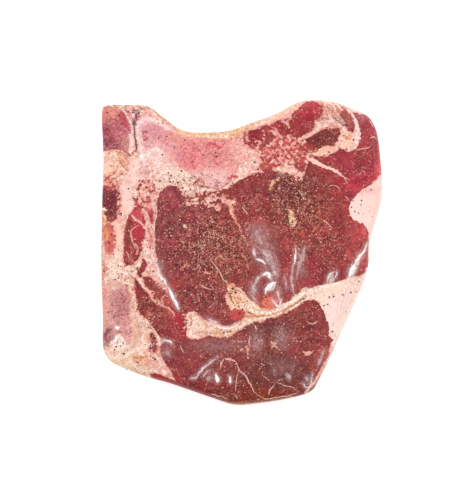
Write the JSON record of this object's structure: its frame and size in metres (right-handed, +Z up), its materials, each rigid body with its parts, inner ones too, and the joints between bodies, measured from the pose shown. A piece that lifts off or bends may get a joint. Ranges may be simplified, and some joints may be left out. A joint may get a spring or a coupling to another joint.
{
  "type": "marinated rump steak",
  "caption": "Thick flat slice of marinated bone-in beef rump with fat seams, cut bone ends and ground pepper, held in skin-tight clear film and lying flat.",
  "frame": {"origin": "middle of the bounding box at the flat underside the steak lies on", "axes": "+Z up out of the cut face; +Y along the longest side, towards the edge with the hip bone; +X from the straight sawn side towards the outer fat"},
  "size_m": [0.1756, 0.1904, 0.0206],
  "materials": {
    "meat": "raw marinated beef and pale fat, wet, under a skin-tight clear film",
    "bone": "sawn spongy bone, pink inside with a pale rim, under a skin-tight clear film"
  },
  "bodies": {
    "root": {"steak_meat": "meat", "sacrum_bone": "bone", "hip_bone": "bone", "spine_bone": "bone"}
  },
  "joints": []
}
